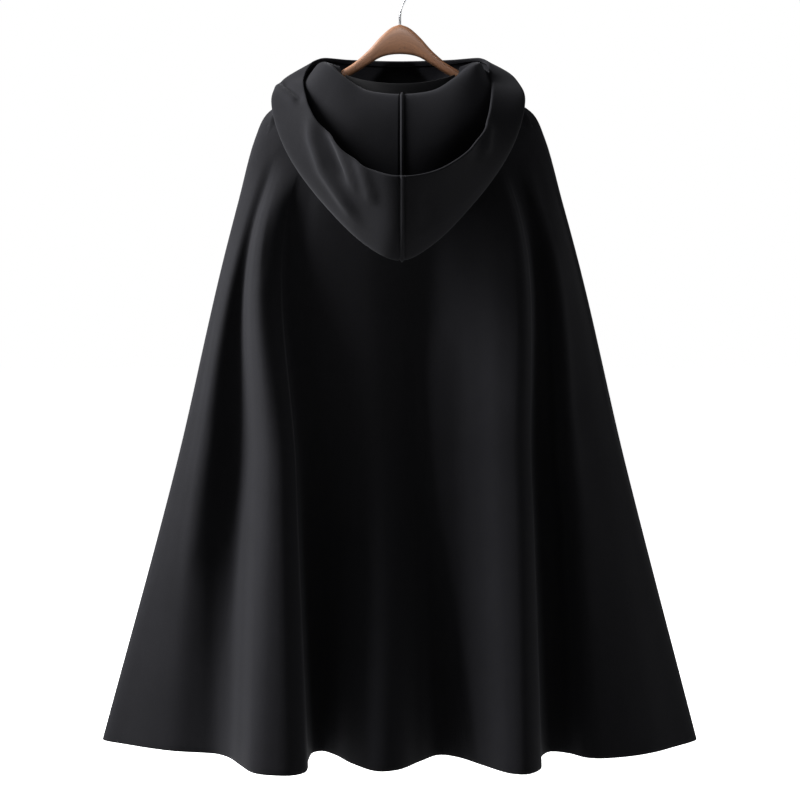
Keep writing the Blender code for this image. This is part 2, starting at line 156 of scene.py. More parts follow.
def smooth_curve(points: np.ndarray, places: np.ndarray, where: np.ndarray) -> np.ndarray:
    """The smooth curve through points.

    Args:
        points: What it passes through.
        places: Where each of them stands, rising.
        where: The places to read it at.

    Returns:
        The curve's points at those places.
    """
    points, places = np.asarray(points, float), np.asarray(places, float)
    spans = np.diff(places).reshape((-1,) + (1,) * (points.ndim - 1))
    secants = np.diff(points, axis=0) / spans
    slopes = np.empty_like(points)
    slopes[0], slopes[-1] = secants[0], secants[-1]
    slopes[1:-1] = (secants[:-1] * spans[1:] + secants[1:] * spans[:-1]) / (spans[1:] + spans[:-1])
    index = np.clip(np.searchsorted(places, where, side="right") - 1, 0, len(places) - 2)
    span = spans[index]
    t = (where - places[index]).reshape((-1,) + (1,) * (points.ndim - 1)) / span
    start = points[index] * (1 + 2 * t) * (1 - t) ** 2 + slopes[index] * span * t * (1 - t) ** 2
    end = points[index + 1] * t**2 * (3 - 2 * t) + slopes[index + 1] * span * t**2 * (t - 1)
    return start + end


def ring_normals(surface: np.ndarray) -> np.ndarray:
    """Outward normals of a surface whose columns close on themselves."""
    along = np.roll(surface, -1, axis=1) - np.roll(surface, 1, axis=1)
    normals = np.cross(np.gradient(surface, axis=0), along)
    return normals / np.linalg.norm(normals, axis=2, keepdims=True)


def distance_to_route(points: np.ndarray, route: np.ndarray) -> tuple[np.ndarray, np.ndarray]:
    """How far points are from a route of straight runs.

    Args:
        points: Points in the plane, one a row.
        route: The route's own points.

    Returns:
        The distance, and the share of the route's length at the nearest place.
    """
    runs = np.diff(route, axis=0)
    lengths = np.linalg.norm(runs, axis=1)
    starts = np.concatenate([[0.0], np.cumsum(lengths)])
    best = np.full(len(points), np.inf)
    share = np.zeros(len(points))
    for start, run, length, before in zip(route[:-1], runs, lengths, starts):
        t = np.clip((points - start) @ run / length**2, 0, 1)
        away = np.linalg.norm(points - start - t[:, None] * run, axis=1)
        nearer = away < best
        best = np.where(nearer, away, best)
        share = np.where(nearer, (before + t * length) / starts[-1], share)
    return best, share


# Finishes


@dataclass(frozen=True)
class FeltedWool:
    """Melton wool, woven, fulled and brushed: near black and matt, with a nap that catches light edge on."""

    name: str = "wool melton, fulled and brushed"
    deep: str = "#0f0f12"
    pale: str = "#19191d"
    clump_mm: float = 1.6
    nap_mm: float = 6.0
    cloud_mm: float = 60.0
    combed_down: Triple = (1, 1, 0.25)
    nap_in_tint: float = 0.35
    nap_in_bump: float = 0.4

    def build(self) -> Material:
        """Builds the material.

        Real fibres are 0.02 mm thick and can't show, so the bump draws the clumps that brushing leaves.
        """
        made, tree, place = new_material(self.name, "Object")
        combed = add_node(tree, "ShaderNodeMapping", {"Vector": place, "Scale": self.combed_down}).outputs[0]
        patterns = ((place, self.clump_mm, 3.0), (combed, self.nap_mm, 4.0), (place, self.cloud_mm, 2.0))
        clumps, nap, cloud = (
            add_node(tree, "ShaderNodeTexNoise", {"Vector": v, "Scale": 1000 / mm, "Detail": d}).outputs[0]
            for v, mm, d in patterns
        )
        mixed = add_node(tree, "ShaderNodeMix", {0: self.nap_in_tint, 2: cloud, 3: nap}).outputs[0]
        colours = {0: mixed, 6: linear(self.deep), 7: linear(self.pale)}
        tint = add_node(tree, "ShaderNodeMix", colours, data_type="RGBA")
        spread = {"Value": clumps, "From Min": 0.3, "From Max": 0.7, "To Min": 0.86, "To Max": 1.0}
        rough = add_node(tree, "ShaderNodeMapRange", spread)
        height = add_node(tree, "ShaderNodeMix", {0: self.nap_in_bump, 2: clumps, 3: nap}).outputs[0]
        bump = add_node(tree, "ShaderNodeBump", {"Strength": 0.35, "Distance": 0.0006, "Height": height})
        shader = {
            "Base Color": tint.outputs[2],
            "Roughness": rough.outputs[0],
            "Normal": bump.outputs[0],
            "Specular IOR Level": 0.12,
            "Sheen Weight": 0.07,
            "Sheen Roughness": 0.45,
            "Sheen Tint": (0.75, 0.76, 0.82, 1.0),
        }
        dress(tree, shader)
        return made


@dataclass(frozen=True)
class TwillTape:
    """Cotton tape in a twill weave: flat and black, with fine slanting ribs."""

    name: str = "cotton tape, twill woven"
    thread: str = "#111113"
    shade: str = "#0b0b0d"
    rib_mm: float = 1.4
    slant: float = math.radians(40)

    def build(self) -> Material:
        """Builds the material. Real ribs are 0.7 mm apart, and twice that shows close to."""
        made, tree, place = new_material(self.name, "UV")
        slanted = {"Vector": place, "Rotation": (0, 0, self.slant)}
        across = add_node(tree, "ShaderNodeMapping", slanted).outputs[0]
        weave = {"Vector": across, "Scale": WAVE_BAND * 1000 / self.rib_mm, "Distortion": 0.6, "Detail": 1.0}
        ribs = add_node(tree, "ShaderNodeTexWave", weave).outputs["Fac"]
        colours = {0: ribs, 6: linear(self.shade), 7: linear(self.thread)}
        tint = add_node(tree, "ShaderNodeMix", colours, data_type="RGBA")
        bump = add_node(tree, "ShaderNodeBump", {"Strength": 0.5, "Distance": 0.0003, "Height": ribs})
        shader = {
            "Base Color": tint.outputs[2],
            "Roughness": 0.8,
            "Normal": bump.outputs[0],
            "Specular IOR Level": 0.12,
            "Sheen Weight": 0.05,
        }
        dress(tree, shader)
        return made


@dataclass(frozen=True)
class SewingThread:
    """Spun polyester thread, twisted and dyed: black with a faint gloss along each stitch, and a painted
    highlight along its plies.
    """

    name: str = "polyester thread, twisted"
    # light is a painted highlight on the plies' crests; dark is the thread's own black
    light: str = "#202125"
    dark: str = "#0c0c0e"
    twist_mm: float = 0.5

    def build(self) -> Material:
        """Builds the material."""
        made, tree, place = new_material(self.name, "Object")
        plies = {"Vector": place, "Scale": WAVE_BAND * 1000 / self.twist_mm}
        # The twist bands mix in the painted highlight along each ply.
        twist = add_node(tree, "ShaderNodeTexWave", plies, bands_direction="DIAGONAL").outputs["Fac"]
        colours = {0: twist, 6: linear(self.dark), 7: linear(self.light)}
        tint = add_node(tree, "ShaderNodeMix", colours, data_type="RGBA")
        dress(tree, {"Base Color": tint.outputs[2], "Roughness": 0.55, "Specular IOR Level": 0.4})
        return made


@dataclass(frozen=True)
class StainedBeech:
    """Beech, shaped, sanded, stained walnut brown and lacquered: fine long grain under a satin coat."""

    name: str = "beech, stained and satin lacquered"
    light: str = "#8c6040"
    mid: str = "#774e33"
    dark: str = "#4a3022"
    grain_mm: float = 2.4
    grain_stretch: Triple = (0.06, 1, 1)
    fleck_mm: float = 0.9
    fleck_stretch: Triple = (0.22, 1, 1)

    def build(self) -> Material:
        """Builds the material. Its pattern runs along the arm by the piece's own UV map, in metres."""
        made, tree, place = new_material(self.name, "UV")
        along, short = (
            add_node(tree, "ShaderNodeMapping", {"Vector": place, "Scale": stretch}).outputs[0]
            for stretch in (self.grain_stretch, self.fleck_stretch)
        )
        fibres = {"Vector": along, "Scale": 1000 / self.grain_mm, "Detail": 5.0, "Distortion": 0.4}
        grain = add_node(tree, "ShaderNodeTexNoise", fibres | {"Roughness": 0.62}).outputs["Fac"]
        rays = {"Vector": short, "Scale": 1000 / self.fleck_mm, "Detail": 1.0}
        flecks = add_node(tree, "ShaderNodeTexNoise", rays).outputs["Fac"]
        stain, fleck, rough = (
            add_node(tree, "ShaderNodeMapRange", ends).outputs[0]
            for ends in (
                {"Value": grain, "From Min": 0.34, "From Max": 0.66},
                {"Value": flecks, "From Min": 0.62, "From Max": 0.72, "To Max": 0.6},
                {"Value": grain, "To Min": 0.46, "To Max": 0.60},
            )
        )
        colours = {0: stain, 6: linear(self.mid), 7: linear(self.light)}
        tint = add_node(tree, "ShaderNodeMix", colours, data_type="RGBA").outputs[2]
        pores = add_node(tree, "ShaderNodeMix", {0: fleck, 6: tint, 7: linear(self.dark)}, data_type="RGBA")
        bump = add_node(tree, "ShaderNodeBump", {"Strength": 0.12, "Distance": 0.0004, "Height": grain})
        shader = {
            "Base Color": pores.outputs[2],
            "Roughness": rough,
            "Normal": bump.outputs[0],
            "Coat Weight": 0.12,
            "Coat Roughness": 0.35,
        }
        dress(tree, shader)
        return made


@dataclass(frozen=True)
class ChromedSteel:
    """Steel wire, drawn, bent and chromed: bright, with faint lengthwise rubbing from rails."""

    name: str = "steel wire, bent and chromed"
    chrome: str = "#cfd1d4"
    rub_mm: float = 1.2

    def build(self) -> Material:
        """Builds the material."""
        made, tree, place = new_material(self.name, "Object")
        marks = {"Vector": place, "Scale": 1000 / self.rub_mm, "Detail": 4.0}
        rubs = add_node(tree, "ShaderNodeTexNoise", marks).outputs["Fac"]
        ends = {"Value": rubs, "From Min": 0.4, "From Max": 0.75, "To Min": 0.12, "To Max": 0.34}
        rough = add_node(tree, "ShaderNodeMapRange", ends).outputs[0]
        dress(tree, {"Base Color": linear(self.chrome), "Metallic": 1.0, "Roughness": rough})
        return made


@dataclass(frozen=True)
class StudioPaper:
    """Matt white seamless paper, rolled out as a floor: pale, with a faint even tooth."""

    name: str = "seamless paper, matt white"
    white: str = "#f4f4f4"
    shade: str = "#eeeeee"
    tooth_mm: float = 1000 / 30
    glow: float = 1.0

    def build(self) -> Material:
        """Builds the material."""
        made, tree, place = new_material(self.name, "Object")
        pulp = {"Vector": place, "Scale": 1000 / self.tooth_mm}
        tooth = add_node(tree, "ShaderNodeTexNoise", pulp).outputs["Fac"]
        colours = {0: tooth, 6: linear(self.white), 7: linear(self.shade)}
        tint = add_node(tree, "ShaderNodeMix", colours, data_type="RGBA")
        shader = {
            "Base Color": tint.outputs[2],
            "Roughness": 0.9,
            "Emission Color": (1.0, 1.0, 1.0, 1.0),
            "Emission Strength": self.glow,
        }
        dress(tree, shader)
        return made


# Sewing by Geometry Nodes


class PathTool(Enum):
    """What a path is turned into."""

    STITCHES = "row of stitches"
    ROUND = "round bar"


def path_tree(tool: PathTool, finish: Material) -> NodeTree:
    """Builds the Geometry Nodes tree for stitches or for a round bar along a path.

    Args:
        tool: Which of the two.
        finish: The material that it sets.

    Returns:
        The tree, with named inputs for its sizes.
    """
    tree = bpy.data.node_groups.new(tool.value, "GeometryNodeTree")
    tree.interface.new_socket("Path", in_out="INPUT", socket_type="NodeSocketGeometry")
    for size in ("Radius", "Length", "Pitch"):
        tree.interface.new_socket(size, in_out="INPUT", socket_type="NodeSocketFloat")
    tree.interface.new_socket("Result", in_out="OUTPUT", socket_type="NodeSocketGeometry")
    given = add_node(tree, "NodeGroupInput").outputs
    curve = add_node(tree, "GeometryNodeMeshToCurve", {"Mesh": given["Path"]}).outputs[0]
    if tool is PathTool.STITCHES:
        steps = {"Curve": curve, "Length": given["Pitch"]}
        spaced = add_node(tree, "GeometryNodeResampleCurve", steps, mode="LENGTH").outputs[0]
        ball = {"Segments": 8, "Rings": 5, "Radius": given["Radius"]}
        bead = add_node(tree, "GeometryNodeMeshUVSphere", ball).outputs["Mesh"]
        doubled = {0: given["Radius"], 1: 2.0}
        width = add_node(tree, "ShaderNodeMath", doubled, operation="MULTIPLY").outputs[0]
        shared = {0: given["Length"], 1: width}
        stretch = add_node(tree, "ShaderNodeMath", shared, operation="DIVIDE").outputs[0]
        scale = add_node(tree, "ShaderNodeCombineXYZ", {"X": 1.0, "Y": 1.0, "Z": stretch}).outputs[0]
        tangent = add_node(tree, "GeometryNodeInputTangent").outputs[0]
        turned = add_node(tree, "FunctionNodeAlignRotationToVector", {"Vector": tangent}, axis="Z").outputs[0]
        row = {"Points": spaced, "Instance": bead, "Rotation": turned, "Scale": scale}
        shape = add_node(tree, "GeometryNodeInstanceOnPoints", row).outputs[0]
    else:
        wire = {"Resolution": 16, "Radius": given["Radius"]}
        ring = add_node(tree, "GeometryNodeCurvePrimitiveCircle", wire).outputs["Curve"]
        bar = {"Curve": curve, "Profile Curve": ring, "Fill Caps": True}
        shape = add_node(tree, "GeometryNodeCurveToMesh", bar).outputs[0]
    real = add_node(tree, "GeometryNodeRealizeInstances", {"Geometry": shape}).outputs[0]
    smooth = add_node(tree, "GeometryNodeSetShadeSmooth", {"Geometry": real}).outputs[0]
    painted = add_node(tree, "GeometryNodeSetMaterial", {"Geometry": smooth, "Material": finish}).outputs[0]
    add_node(tree, "NodeGroupOutput", {"Result": painted})
    return tree


def along_path(
    name: str, path: np.ndarray, tree: NodeTree, sizes: dict[str, float], closed: bool = False
) -> Object:
    """Makes a plain mesh of stitches or of a round bar along a path.

    Args:
        name: The piece's name.
        path: The points that it follows.
        tree: The Geometry Nodes tree.
        sizes: A value for each of the tree's named inputs.
        closed: Whether the path comes back to its start.

    Returns:
        The finished piece.
    """
    mesh = bpy.data.meshes.new(name + "_path")
    count = len(path)
    edges = [(i, i + 1) for i in range(count - 1)] + ([(count - 1, 0)] if closed else [])
    mesh.from_pydata(path.tolist(), edges, [])
    source = bpy.data.objects.new(name + "_path", mesh)
    bpy.context.scene.collection.objects.link(source)
    modifier = source.modifiers.new("Path", "NODES")
    modifier.node_group = tree
    for item in tree.interface.items_tree:
        if item.name in sizes:
            modifier[item.identifier] = sizes[item.name]
    graph = bpy.context.evaluated_depsgraph_get()
    made = bpy.data.meshes.new_from_object(source.evaluated_get(graph))
    made.name = name
    source.modifiers.remove(modifier)
    bpy.data.objects.remove(source, do_unlink=True)
    obj = bpy.data.objects.new(name, made)
    bpy.context.scene.collection.objects.link(obj)
    return obj


# Cloth


@dataclass(frozen=True)
class Crease:
    """One ridge or trough: its route across and up the cloth, half width and height."""

    route: tuple[tuple[float, float], ...]
    half_width: float
    height: float

    def lift(self, points: np.ndarray) -> np.ndarray:
        """How far it lifts each point of a surface, fading out over a quarter of its length at each end."""
        away, share = distance_to_route(points[..., (0, 2)].reshape(-1, 2), np.array(self.route))
        fade = np.clip(np.minimum(share, 1 - share) / CREASE_FADE, 0, 1)
        rise = self.height * np.exp(-((away / self.half_width) ** 2)) * fade * fade * (3 - 2 * fade)
        return rise.reshape(points.shape[:-1])


@dataclass(frozen=True)
class Turning:
    """Cloth turned to the inside along an edge: how wide, and how thick it makes the wall."""

    width: float
    extra: float


def down_lengths(middle: np.ndarray) -> np.ndarray:
    """Mean length down the rows of a surface, from its first row."""
    steps = np.linalg.norm(np.diff(middle, axis=0), axis=2).mean(axis=1)
    return np.concatenate([[0.0], np.cumsum(steps)])


def cloth_wall(
    name: str,
    middle: np.ndarray,
    normals: np.ndarray,
    thickness: float,
    finish: Material,
    turning: Turning | None = None,
) -> Object:
    """Makes a closed wall of cloth round a middle surface, with rounded edges.

    Args:
        name: The piece's name.
        middle: Its middle surface, rows by columns.
        normals: The surface's outward normals.
        thickness: The cloth's thickness.
        finish: Its material.
        turning: Cloth turned in along the last row.

    Returns:
        The piece.
    """
    rows, columns = middle.shape[:2]
    down = down_lengths(middle)
    thick = np.full(rows, thickness)
    if turning:
        thick[down > down[-1] - turning.width] += turning.extra
    outer = middle + normals * thickness / 2
    inner = outer - normals * thick[:, None, None]
    rims = []
    for end, beside in ((-1, -2), (0, 1)):
        outward = middle[end] - middle[beside]
        outward /= np.linalg.norm(outward, axis=1, keepdims=True)
        centre = (outer[end] + inner[end]) / 2
        turns = EDGE_ROUND if end else EDGE_ROUND[::-1]
        half = thick[end] / 2
        rims.append([centre + (normals[end] * math.cos(a) + outward * math.sin(a)) * half for a in turns])
    loop = np.concatenate([outer, np.array(rims[0]), inner[::-1], np.array(rims[1])])
    size, bend = len(loop), len(EDGE_ROUND)
    across = np.linalg.norm(np.diff(middle[rows // 2], axis=0), axis=1)
    u = np.concatenate([[0.0], np.cumsum(across)])
    v = -np.concatenate([down, np.full(bend, down[-1]), down[::-1], np.zeros(bend)])
    uv = np.stack(np.broadcast_arrays(u[None, :], v[:, None]), axis=2)
    faces = []
    for p in range(size):
        q = (p + 1) % size
        for c in range(columns - 1):
            faces.append((p * columns + c, q * columns + c, q * columns + c + 1, p * columns + c + 1))
    back = 2 * rows + bend - 1
    for c, order in ((0, 1), (columns - 1, -1)):
        caps = [(r, back - r, back - r - 1, r + 1) for r in range(rows - 1)]
        caps.append((rows - 1, rows + bend, *range(rows + bend - 1, rows - 1, -1)))
        caps.append((back, 0, *range(size - 1, back, -1)))
        faces.extend(tuple(p * columns + c for p in cap)[::order] for cap in caps)
    return mesh_object(name, loop, faces, finish, uv)


def cloth_area(middle: np.ndarray) -> float:
    """Area of a middle surface."""
    across = middle[:-1, 1:] - middle[:-1, :-1]
    down = middle[1:, :-1] - middle[:-1, :-1]
    return float(np.linalg.norm(np.cross(across, down), axis=2).sum())


# Hanger


class Station(NamedTuple):
    """One station along a hanger arm: its top edge and its height there."""

    x: float
    top_z: float
    height: float


@dataclass
class WoodenHanger:
    """A shaped beech yoke with a chromed hook."""

    yoke: tuple[Station, ...] = (
        Station(0.000, -0.0747, 0.0430),
        Station(0.012, -0.0790, 0.0395),
        Station(0.028, -0.0925, 0.0300),
        Station(0.045, -0.1115, 0.0210),
        Station(0.064, -0.1285, 0.0160),
        Station(0.094, -0.1470, 0.0145),
        Station(0.140, -0.1735, 0.0145),
        Station(0.170, -0.1925, 0.0140),
        Station(0.182, -0.2025, 0.0105),
        Station(0.187, -0.2085, 0.0050),
    )
    half_depth: float = 0.0065
    tip_from: float = 0.0140
    stations: int = 96
    sides: int = 32
    squareness: float = 0.82
    wire_radius: float = 0.00175
    hook_radius: float = 0.01875
    hook_foot_z: float = -0.088
    shank: tuple[tuple[float, float], ...] = ((0, -0.072), (0, -0.062), (0.0015, -0.052), (0.0065, -0.0415))
    hook_turns: range = range(-40, 211, 15)
    hook_points: int = 160

    def top(self, x: np.ndarray) -> np.ndarray:
        """Height of the top edge at distances from the middle."""
        table = np.array(self.yoke)
        return smooth_curve(table[:, 1], table[:, 0], np.abs(x))

    def arms(self, finish: Material) -> Object:
        """Builds the yoke from rounded sections along both arms.

        Args:
            finish: The wood.

        Returns:
            The yoke.
        """
        table = np.array(self.yoke)
        half = table[-1, 0] * np.sin(np.linspace(0, math.pi / 2, self.stations + 1)[1:])
        x = np.concatenate([-half[::-1], [0.0], half])
        top, tall = self.top(x), smooth_curve(table[:, 2], table[:, 0], np.abs(x))
        turn = np.arange(self.sides) * 2 * math.pi / self.sides
        across = np.sign(np.cos(turn)) * np.abs(np.cos(turn)) ** self.squareness
        up = np.sign(np.sin(turn)) * np.abs(np.sin(turn)) ** self.squareness
        depth = self.half_depth * np.minimum(1.0, (1 + tall / self.tip_from) / 2)
        points = np.empty((len(x), self.sides, 3))
        points[..., 0] = x[:, None]
        points[..., 1] = depth[:, None] * across
        points[..., 2] = (top - tall / 2)[:, None] + tall[:, None] / 2 * up
        length = np.concatenate([[0.0], np.cumsum(np.hypot(np.diff(x), np.diff(top)))])
        girth = np.abs(np.linspace(-1, 1, self.sides)) * self.half_depth * 4
        around = girth[None, :] + up[None, :] * tall[:, None] / 2
        uv = np.stack(np.broadcast_arrays(length[:, None], around), axis=2)
        faces = []
        for s in range(len(x) - 1):
            for i in range(self.sides):
                a, b = s * self.sides + i, s * self.sides + (i + 1) % self.sides
                faces.append((a, b, b + self.sides, a + self.sides))
        faces.append(tuple(range(self.sides))[::-1])
        faces.append(tuple((len(x) - 1) * self.sides + i for i in range(self.sides)))
        return mesh_object("wooden_yoke", points, faces, finish, uv)

    def hook_route(self) -> np.ndarray:
        """The middle line of the hook's wire, from its foot in the wood to its end."""
        centre_z = self.wire_radius - self.hook_radius
        route = [(0, self.hook_foot_z), *self.shank]
        for degrees in self.hook_turns:
            angle = math.radians(degrees)
            route.append((self.hook_radius * math.cos(angle), centre_z + self.hook_radius * math.sin(angle)))
        line = np.array(route)
        places = np.concatenate([[0.0], np.cumsum(np.linalg.norm(np.diff(line, axis=0), axis=1))])
        fine = smooth_curve(line, places, np.linspace(0, places[-1], self.hook_points))
        return np.stack([fine[:, 0], np.zeros(len(fine)), fine[:, 1]], axis=1)

    def build(self, wood: Material, steel: Material) -> list[Object]:
        """Builds the yoke and the hook in place of the frame's own.

        Args:
            wood: The yoke's finish.
            steel: The hook's finish.

        Returns:
            Both pieces.
        """
        yoke = self.arms(wood)
        hook = along_path(
            "steel_hook", self.hook_route(), path_tree(PathTool.ROUND, steel), {"Radius": self.wire_radius}
        )
        for piece, node, slot in ((yoke, "hanger", "wood"), (hook, "hook", "steel")):
            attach(piece, ROOT)
            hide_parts(node)
        return [yoke, hook]


# Body of the poncho


@dataclass(frozen=True)
class Ring:
    """One closed ring over the shoulders: how far out and how high at the sides, back and front."""

    side_x: float
    side_z: float
    back_out: float
    back_z: float
    front_out: float
    front_z: float


class FoldLine(NamedTuple):
    """One line down a panel: where it lies and how far out it stands, at its top, its middle and the hem."""

    top_x: float
    top_out: float
    mid_x: float
    mid_out: float
    hem_x: float
    hem_out: float


@dataclass(frozen=True)
class DrapeRest:
    """How the cloth lies on the hanger's arms."""

    clearance: float = 0.0015
    slope: float = 0.8
    reach: float = 0.010
    fall: float = 5.0
    half_depth: float = 0.036


@dataclass
class PonchoBody:
    """The back and the front, which hang from the neck seam in deep uneven folds."""

    hanger: WoodenHanger
    neck_half_width: float = 0.088
    neck_curve: float = 1.1
    shoulder_rings: tuple[Ring, ...] = (
        Ring(0.088, -0.1420, 0.052, -0.190, 0.062, -0.198),
        Ring(0.125, -0.1636, 0.056, -0.216, 0.066, -0.224),
        Ring(0.163, -0.1852, 0.058, -0.243, 0.069, -0.250),
        Ring(0.193, -0.2060, 0.059, -0.270, 0.070, -0.276),
        Ring(0.209, -0.2400, 0.060, -0.300, 0.071, -0.305),
    )
    top_side_z: float = -0.330
    top_middle_z: float = -0.345
    mid_z: float = -0.720
    hem_z: float = -1.110
    back_folds: tuple[FoldLine, ...] = (
        FoldLine(-0.2330, 0.000, -0.3250, 0.000, -0.4300, 0.000),
        FoldLine(-0.2311, 0.008, -0.3190, 0.012, -0.4220, 0.010),
        FoldLine(-0.2260, 0.017, -0.3080, 0.027, -0.4010, 0.024),
        FoldLine(-0.2180, 0.028, -0.2960, 0.042, -0.3560, 0.053),
        FoldLine(-0.2120, 0.034, -0.2840, 0.053, -0.3180, 0.072),
        FoldLine(-0.2070, 0.036, -0.2690, 0.055, -0.2840, 0.080),
        FoldLine(-0.2030, 0.037, -0.2540, 0.049, -0.2590, 0.087),
        FoldLine(-0.1995, 0.039, -0.2330, 0.046, -0.2390, 0.108),
        FoldLine(-0.1955, 0.046, -0.2150, 0.067, -0.2190, 0.152),
        FoldLine(-0.1900, 0.055, -0.1960, 0.104, -0.1990, 0.195),
        FoldLine(-0.1840, 0.060, -0.1840, 0.121, -0.1860, 0.206),
        FoldLine(-0.1780, 0.061, -0.1730, 0.127, -0.1710, 0.211),
        FoldLine(-0.1680, 0.060, -0.1580, 0.127, -0.1470, 0.213),
        FoldLine(-0.1600, 0.058, -0.1475, 0.114, -0.1285, 0.198),
        FoldLine(-0.1540, 0.055, -0.1455, 0.084, -0.1270, 0.128),
        FoldLine(-0.1460, 0.054, -0.1340, 0.063, -0.1215, 0.080),
        FoldLine(-0.1330, 0.055, -0.1170, 0.058, -0.1105, 0.071),
        FoldLine(-0.1150, 0.059, -0.0950, 0.064, -0.0920, 0.092),
        FoldLine(-0.0780, 0.063, -0.0600, 0.080, -0.0650, 0.146),
        FoldLine(-0.0350, 0.0655, -0.0280, 0.088, -0.0300, 0.189),
        FoldLine(-0.0050, 0.065, 0.0000, 0.082, -0.0020, 0.180),
        FoldLine(0.0250, 0.063, 0.0250, 0.069, 0.0275, 0.133),
        FoldLine(0.0480, 0.0625, 0.0450, 0.066, 0.0560, 0.094),
        FoldLine(0.0700, 0.066, 0.0750, 0.078, 0.0800, 0.108),
        FoldLine(0.0980, 0.069, 0.1080, 0.103, 0.1150, 0.158),
        FoldLine(0.1280, 0.073, 0.1400, 0.126, 0.1470, 0.200),
        FoldLine(0.1520, 0.0745, 0.1640, 0.131, 0.1690, 0.206),
        FoldLine(0.1610, 0.067, 0.1800, 0.118, 0.1890, 0.180),
        FoldLine(0.1665, 0.056, 0.1820, 0.086, 0.1930, 0.120),
        FoldLine(0.1730, 0.048, 0.1960, 0.053, 0.2130, 0.074),
        FoldLine(0.1820, 0.045, 0.2190, 0.054, 0.2380, 0.086),
        FoldLine(0.1910, 0.048, 0.2350, 0.079, 0.2570, 0.110),
        FoldLine(0.1980, 0.048, 0.2440, 0.085, 0.2740, 0.116),
        FoldLine(0.2080, 0.040, 0.2600, 0.074, 0.3160, 0.105),
        FoldLine(0.2190, 0.027, 0.2880, 0.053, 0.3560, 0.080),
        FoldLine(0.2270, 0.015, 0.3120, 0.028, 0.3960, 0.040),
        FoldLine(0.2322, 0.008, 0.3230, 0.013, 0.4215, 0.013),
        FoldLine(0.2340, 0.000, 0.3280, 0.000, 0.4290, 0.000),
    )
    front_folds: tuple[FoldLine, ...] = (
        FoldLine(0.2322, 0.009, 0.3225, 0.013, 0.4225, 0.014),
        FoldLine(0.2265, 0.018, 0.3110, 0.029, 0.4020, 0.033),
        FoldLine(0.2140, 0.032, 0.2860, 0.054, 0.3620, 0.068),
        FoldLine(0.1980, 0.046, 0.2540, 0.060, 0.3080, 0.070),
        FoldLine(0.1760, 0.062, 0.2140, 0.104, 0.2480, 0.150),
        FoldLine(0.1560, 0.068, 0.1860, 0.102, 0.2060, 0.152),
        FoldLine(0.1400, 0.066, 0.1740, 0.070, 0.1960, 0.086),
        FoldLine(0.1100, 0.066, 0.1340, 0.060, 0.1460, 0.062),
        FoldLine(0.0660, 0.072, 0.0760, 0.090, 0.0780, 0.118),
        FoldLine(0.0200, 0.076, 0.0220, 0.104, 0.0200, 0.150),
        FoldLine(-0.0300, 0.074, -0.0320, 0.080, -0.0380, 0.098),
        FoldLine(-0.0760, 0.070, -0.0820, 0.064, -0.0900, 0.070),
        FoldLine(-0.1240, 0.070, -0.1400, 0.090, -0.1520, 0.116),
        FoldLine(-0.1560, 0.066, -0.1840, 0.110, -0.2060, 0.162),
        FoldLine(-0.1760, 0.056, -0.2120, 0.074, -0.2440, 0.092),
        FoldLine(-0.1960, 0.046, -0.2480, 0.058, -0.2960, 0.070),
        FoldLine(-0.2140, 0.032, -0.2860, 0.052, -0.3600, 0.066),
        FoldLine(-0.2255, 0.018, -0.3080, 0.028, -0.4030, 0.030),
        FoldLine(-0.2312, 0.009, -0.3195, 0.013, -0.4235, 0.013),
    )
    step: float = 0.0080
    rows_between: tuple[int, ...] = (6, 6, 6, 6, 6, 58, 58)
    hem_turning: Turning = Turning(0.030, 0.0020)
    hem_edge: float = 0.0012
    rest: DrapeRest = DrapeRest()
    back_creases: tuple[Crease, ...] = (
        Crease(((-0.176, -0.262), (-0.186, -0.330), (-0.190, -0.400), (-0.196, -0.470)), 0.014, -0.0030),
        Crease(((0.196, -0.270), (0.206, -0.340), (0.216, -0.420)), 0.012, -0.0028),
        Crease(((0.060, -0.480), (0.052, -0.600), (0.062, -0.740), (0.070, -0.850)), 0.022, 0.0030),
        Crease(((-0.100, -0.560), (-0.092, -0.700), (-0.088, -0.860)), 0.020, -0.0026),
        Crease(((0.236, -0.620), (0.256, -0.740), (0.282, -0.880)), 0.018, 0.0026),
        Crease(((-0.262, -0.640), (-0.282, -0.760), (-0.300, -0.880)), 0.018, 0.0028),
    )
    front_creases: tuple[Crease, ...] = (
        Crease(((-0.060, -0.290), (-0.052, -0.420), (-0.056, -0.560)), 0.018, 0.0030),
        Crease(((0.092, -0.300), (0.104, -0.430), (0.112, -0.560)), 0.016, -0.0030),
        Crease(((0.206, -0.560), (0.226, -0.700), (0.246, -0.830)), 0.020, 0.0028),
        Crease(((-0.200, -0.520), (-0.222, -0.680), (-0.240, -0.820)), 0.020, -0.0026),
    )
    stitch_pitch: float = 0.009
    stitch_length: float = 0.0045
    thread_radius: float = 0.0004

    def on_hanger(self, points: np.ndarray) -> np.ndarray:
        """Lifts the points over the hanger's arms until the cloth just lies on them.

        Args:
            points: A surface, changed in place.

        Returns:
            The same surface.
        """
        x, y, z = np.abs(points[..., 0]), np.abs(points[..., 1]), points[..., 2]
        tip = self.hanger.yoke[-1].x
        past_edge = np.maximum(y - self.hanger.half_depth, 0)
        drop = past_edge * self.rest.slope + np.maximum(past_edge - self.rest.reach, 0) * self.rest.fall
        drop += np.maximum(self.neck_half_width - x, 0) * self.rest.fall
        top = self.hanger.top(np.clip(x, self.neck_half_width, tip).ravel()).reshape(x.shape)
        support = top + CLOTH / 2 + self.rest.clearance - drop
        points[..., 2] = np.where((x < tip) & (y < self.rest.half_depth), np.maximum(z, support), z)
        return points

    def closed_line(self, ring: np.ndarray, knots: np.ndarray, where: np.ndarray) -> np.ndarray:
        """A smooth closed curve through a ring of fold lines, read at places."""
        wrapped = np.concatenate([ring[-2:], ring, ring[:3]])
        total = knots[-1]
        return smooth_curve(wrapped, np.concatenate([knots[-3:-1] - total, knots, knots[1:3] + total]), where)

